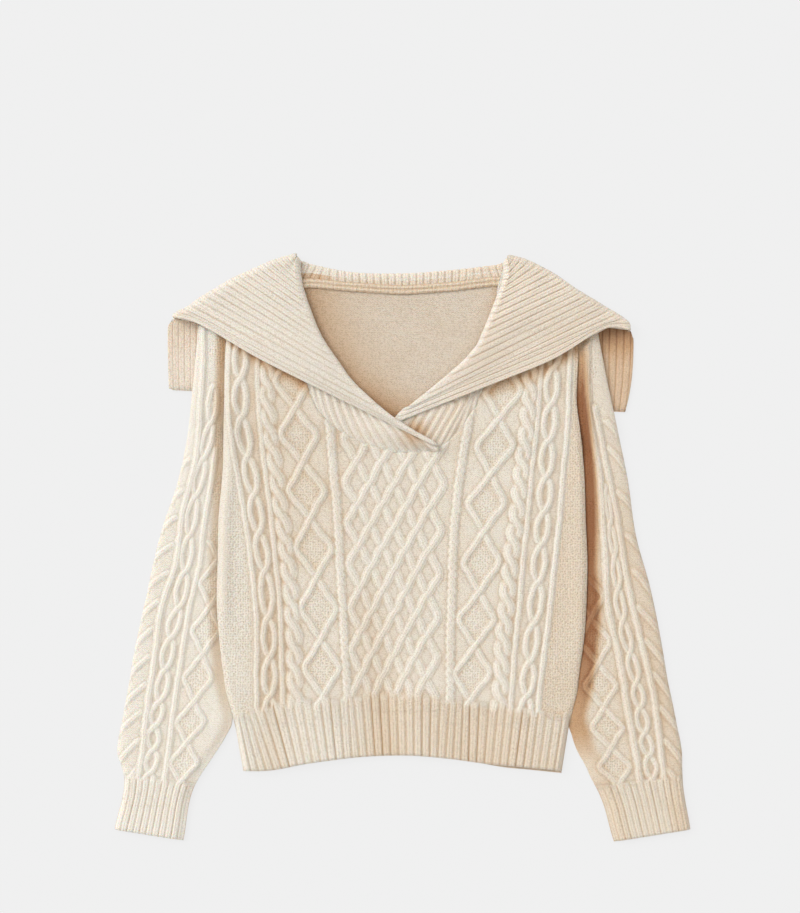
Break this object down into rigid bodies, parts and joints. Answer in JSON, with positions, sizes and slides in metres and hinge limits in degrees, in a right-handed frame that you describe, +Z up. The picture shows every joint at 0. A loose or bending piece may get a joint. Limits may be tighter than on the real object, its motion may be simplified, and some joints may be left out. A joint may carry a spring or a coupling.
{
  "type": "cable knit sweater",
  "caption": "Wool pullover laid flat: cable and lattice knit front, ribbed hem and cuffs, and a wide ribbed shawl collar folded out over the shoulders.",
  "frame": {"origin": "centre of the laid-out sweater in plan, on the surface that it rests on", "axes": "+Z up from the surface through the front, +Y from the hem to the neck, +X to the side of the wearer's left sleeve"},
  "size_m": [0.67, 0.6802, 0.0236],
  "materials": {
    "wool_cream": "brushed warm cream wool, matt, soft nap",
    "wool_shaded": "the same wool seen in the shade inside the neck, matt"
  },
  "bodies": {
    "root": {"back_panel": "wool_shaded", "front_panel": "wool_cream", "sleeve_left": "wool_cream", "sleeve_right": "wool_cream", "collar": "wool_cream", "neck_seam_band": "wool_shaded"}
  },
  "joints": []
}
